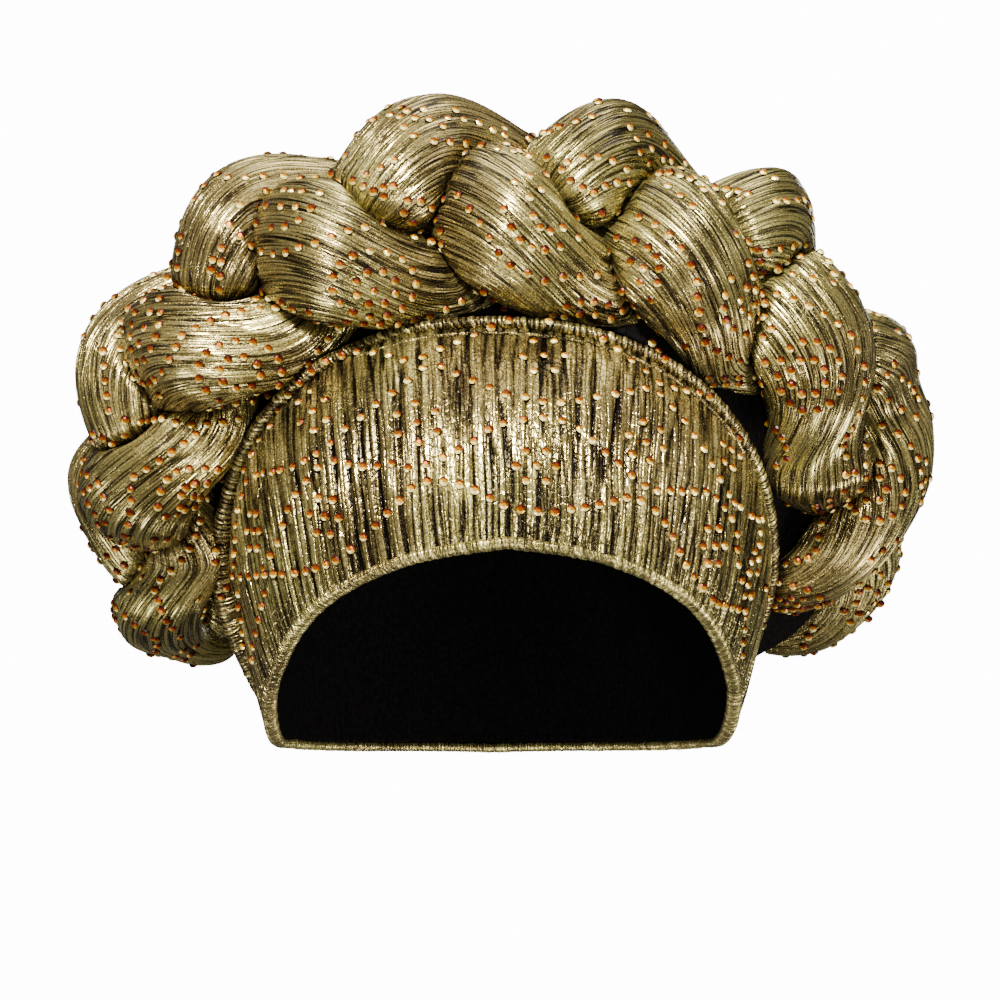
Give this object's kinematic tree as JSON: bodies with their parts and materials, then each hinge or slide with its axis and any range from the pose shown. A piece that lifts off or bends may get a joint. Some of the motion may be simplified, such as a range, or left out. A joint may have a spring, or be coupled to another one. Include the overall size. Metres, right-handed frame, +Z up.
{
  "type": "braided turban hat",
  "caption": "Pleated metallic cloth turban hat with a padded plait arched over the crown, a smooth pleated band over the forehead and a ruched roll between them.",
  "frame": {"origin": "top of the inside of the cap, where the crown of a head touches it", "axes": "+Z up, -Y towards the face side, +X towards the wearer's left, along the plait's span"},
  "size_m": [0.2817, 0.2032, 0.2175],
  "materials": {
    "pleated_lame": "pleated olive gold metallic cloth, shot with brown",
    "black_knit": "matt black stretch knit"
  },
  "bodies": {
    "root": {"base_cap": "black_knit", "front_band": "pleated_lame", "back_cover": "pleated_lame", "edge_roll": "pleated_lame", "rim_hem": "pleated_lame", "braid_strand_1": "pleated_lame", "braid_strand_2": "pleated_lame", "braid_strand_3": "pleated_lame"}
  },
  "joints": []
}
